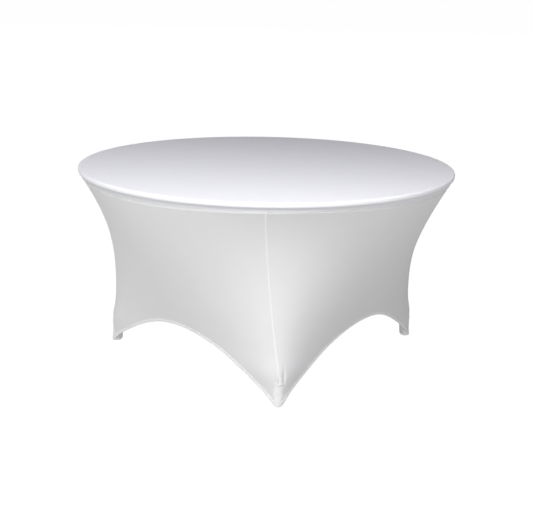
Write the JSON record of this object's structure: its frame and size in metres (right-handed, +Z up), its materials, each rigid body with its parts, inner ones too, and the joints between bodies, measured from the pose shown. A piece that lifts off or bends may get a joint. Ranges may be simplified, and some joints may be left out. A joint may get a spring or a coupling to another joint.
{
  "type": "fitted table cover on a folding table",
  "caption": "Stretch-fit knitted cover with arched sides and foot pockets, on a round folding banquet table with fold-under leg frames and rigid stays.",
  "frame": {"origin": "on the floor, under the centre of the round top", "axes": "+Z up; leg frame A stands on the +X side and leg frame B on the -X side, and both fold about axes along Y"},
  "size_m": [1.5024, 1.5024, 0.7713],
  "materials": {
    "cloth": "matt, fine warp-knit stretch jersey with a faint sheen",
    "pocket_cloth": "doubled stretch knit, stitched",
    "seam_cloth": "overlocked thread and folded knit",
    "board": "lacquered plywood",
    "edge_plastic": "extruded vinyl, satin",
    "leg_paint": "powder coat, fine texture",
    "zinc": "zinc plated",
    "foot_plastic": "moulded, matt"
  },
  "bodies": {
    "table_top": {"tabletop": "board", "edge_band": "edge_plastic", "hinge_bracket_a_left": "zinc", "hinge_bracket_a_right": "zinc", "hinge_bracket_b_left": "zinc", "hinge_bracket_b_right": "zinc", "stay_catch_a": "zinc", "stay_catch_b": "zinc", "bracket_screws": "zinc", "catch_screws": "zinc"},
    "cover": {"cover_top": "cloth", "cover_rim_seam": "seam_cloth", "skirt_panel_a": "cloth", "skirt_panel_left": "cloth", "skirt_panel_b": "cloth", "skirt_panel_right": "cloth", "leg_seam_a_left": "seam_cloth", "leg_seam_b_left": "seam_cloth", "leg_seam_b_right": "seam_cloth", "leg_seam_a_right": "seam_cloth", "hem_a": "seam_cloth", "hem_left": "seam_cloth", "hem_b": "seam_cloth", "hem_right": "seam_cloth", "foot_pocket_a_left": "pocket_cloth", "foot_pocket_b_left": "pocket_cloth", "foot_pocket_b_right": "pocket_cloth", "foot_pocket_a_right": "pocket_cloth"},
    "leg_frame_a": {"pivot_tube_a": "leg_paint", "leg_a_left": "leg_paint", "leg_a_right": "leg_paint", "crossbar_a": "leg_paint", "foot_cap_a_left": "foot_plastic", "foot_cap_a_right": "foot_plastic"},
    "stay_a": {"stay_a": "leg_paint"},
    "leg_frame_b": {"pivot_tube_b": "leg_paint", "leg_b_left": "leg_paint", "leg_b_right": "leg_paint", "crossbar_b": "leg_paint", "foot_cap_b_left": "foot_plastic", "foot_cap_b_right": "foot_plastic"},
    "stay_b": {"stay_b": "leg_paint"}
  },
  "joints": [
    {"name": "cover_lift_off", "type": "slide", "parent": "table_top", "child": "cover", "axis": [0, 0, 1], "range_m": [0, 0.8], "deforming": ["cover_top", "cover_rim_seam", "skirt_panel_a", "skirt_panel_left", "skirt_panel_b", "skirt_panel_right", "leg_seam_a_left", "leg_seam_b_left", "leg_seam_b_right", "leg_seam_a_right", "hem_a", "hem_left", "hem_b", "hem_right", "foot_pocket_a_left", "foot_pocket_b_left", "foot_pocket_b_right", "foot_pocket_a_right"]},
    {"name": "leg_frame_a_fold", "type": "hinge", "parent": "table_top", "child": "leg_frame_a", "pos_m": [0.39356, 0, 0.721], "axis": [0, 1, 0], "range_deg": [0, 94.2]},
    {"name": "stay_a_swing", "type": "hinge", "parent": "leg_frame_a", "child": "stay_a", "pos_m": [0.41187, 0, 0.47167], "axis": [0, 1, 0], "range_deg": [-130.32, 0]},
    {"name": "leg_frame_b_fold", "type": "hinge", "parent": "table_top", "child": "leg_frame_b", "pos_m": [-0.39591, 0, 0.689], "axis": [0, -1, 0], "range_deg": [0, 94.2]},
    {"name": "stay_b_swing", "type": "hinge", "parent": "leg_frame_b", "child": "stay_b", "pos_m": [-0.41422, 0, 0.43967], "axis": [0, -1, 0], "range_deg": [-133.44, 0]}
  ],
  "couplings": [
    {"joint": "stay_a_swing", "follows": "leg_frame_a_fold", "ratio": -1.383},
    {"joint": "stay_b_swing", "follows": "leg_frame_b_fold", "ratio": -1.4161}
  ]
}
